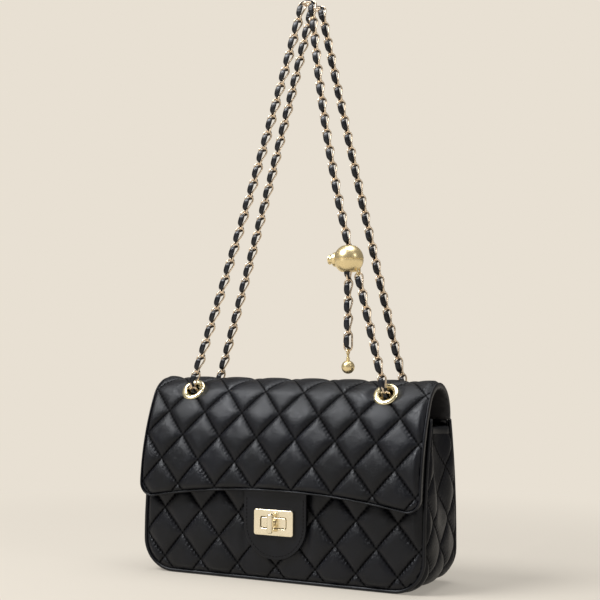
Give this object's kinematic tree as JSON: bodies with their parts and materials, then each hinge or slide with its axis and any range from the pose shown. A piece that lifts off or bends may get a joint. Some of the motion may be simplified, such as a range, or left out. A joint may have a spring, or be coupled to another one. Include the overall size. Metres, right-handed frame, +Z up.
{
  "type": "chain shoulder bag",
  "caption": "Quilted leather flap bag with a turn lock and a double shoulder strap of chain links woven with leather ribbon, carried by a gold ball with a hanging tail.",
  "frame": {"origin": "centre of the bounding box's underside, on the surface that the bag stands on", "axes": "+X along the bag's width to the viewer's right, -Y towards the front with the lock, +Z up"},
  "size_m": [0.2558, 0.0896, 0.4784],
  "materials": {
    "quilted_leather": "padded black leather with a fine grain, satin",
    "smooth_leather": "smooth black leather, satin",
    "ribbon_leather": "smooth black leather ribbon",
    "lining": "thin matt black lining leather",
    "board": "stiff fibre board",
    "plate_gold": "satin pale gold",
    "polished_gold": "polished warm gold",
    "chain_gold": "polished pale gold",
    "spring_steel": "spring wire"
  },
  "bodies": {
    "bag": {"front_panel": "quilted_leather", "back_panel": "quilted_leather", "gusset": "quilted_leather", "front_piping": "smooth_leather", "back_piping": "smooth_leather", "mouth_binding": "smooth_leather", "gusset_binding": "smooth_leather", "lining": "lining", "base_board": "board", "lock_base": "polished_gold", "lock_back_plate": "polished_gold", "lock_rivets": "polished_gold", "flap_back": "quilted_leather", "flap_back_lining": "lining", "rear_eyelets": "polished_gold", "rear_eyelet_washers": "polished_gold", "rear_eyelet_links": "chain_gold"},
    "flap": {"flap_outer": "quilted_leather", "flap_lining": "lining", "flap_binding": "smooth_leather", "tongue": "smooth_leather", "lock_plate": "plate_gold", "front_eyelets": "polished_gold", "front_eyelet_washers": "polished_gold", "front_eyelet_links": "chain_gold"},
    "turn_knob": {"turn_knob": "polished_gold"},
    "front_strap": {"front_left_chain": "chain_gold", "front_left_ribbon": "ribbon_leather", "front_right_chain": "chain_gold", "front_right_ribbon": "ribbon_leather", "front_lower_chain": "chain_gold", "front_lower_ribbon": "ribbon_leather", "front_top_ring": "chain_gold", "ball_upper_half": "polished_gold", "ball_lower_half": "polished_gold", "ball_bail": "polished_gold", "ball_collar": "polished_gold", "slider_spring": "spring_steel"},
    "slider_button": {"slider_button": "polished_gold"},
    "tail": {"tail_chain": "chain_gold", "tail_ribbon": "ribbon_leather", "end_ball": "polished_gold"},
    "rear_strap": {"rear_left_chain": "chain_gold", "rear_left_ribbon": "ribbon_leather", "rear_right_chain": "chain_gold", "rear_right_ribbon": "ribbon_leather", "rear_top_ring": "chain_gold"}
  },
  "joints": [
    {"name": "flap_open", "type": "hinge", "parent": "bag", "child": "flap", "pos_m": [0, 0.01433, 0.16067], "axis": [-1, 0, 0], "range_deg": [0, 155]},
    {"name": "knob_turn", "type": "hinge", "parent": "bag", "child": "turn_knob", "pos_m": [0, -0.04485, 0.0485], "axis": [0, -1, 0], "range_deg": [0, 90]},
    {"name": "front_strap_swing", "type": "hinge", "parent": "flap", "child": "front_strap", "pos_m": [0, -0.01886, 0.15464], "axis": [-1, 0, 0], "range_deg": [-64, 0]},
    {"name": "button_press", "type": "slide", "parent": "front_strap", "child": "slider_button", "axis": [1, 0, 0], "range_m": [0, 0.0025], "stiffness_N_per_m": 400, "springref_m": -0.002, "deforming": ["slider_spring"]},
    {"name": "tail_swing", "type": "hinge", "parent": "front_strap", "child": "tail", "pos_m": [0.054, -0.01355, 0.243], "axis": [0, 1, 0], "range_deg": [-8, 35]},
    {"name": "rear_strap_swing", "type": "hinge", "parent": "bag", "child": "rear_strap", "pos_m": [0, 0.02557, 0.15464], "axis": [-1, 0, 0], "range_deg": [0, 105]}
  ],
  "couplings": [
    {"joint": "front_strap_swing", "follows": "flap_open", "ratio": -0.4},
    {"joint": "rear_strap_swing", "follows": "flap_open", "ratio": 0.66}
  ]
}
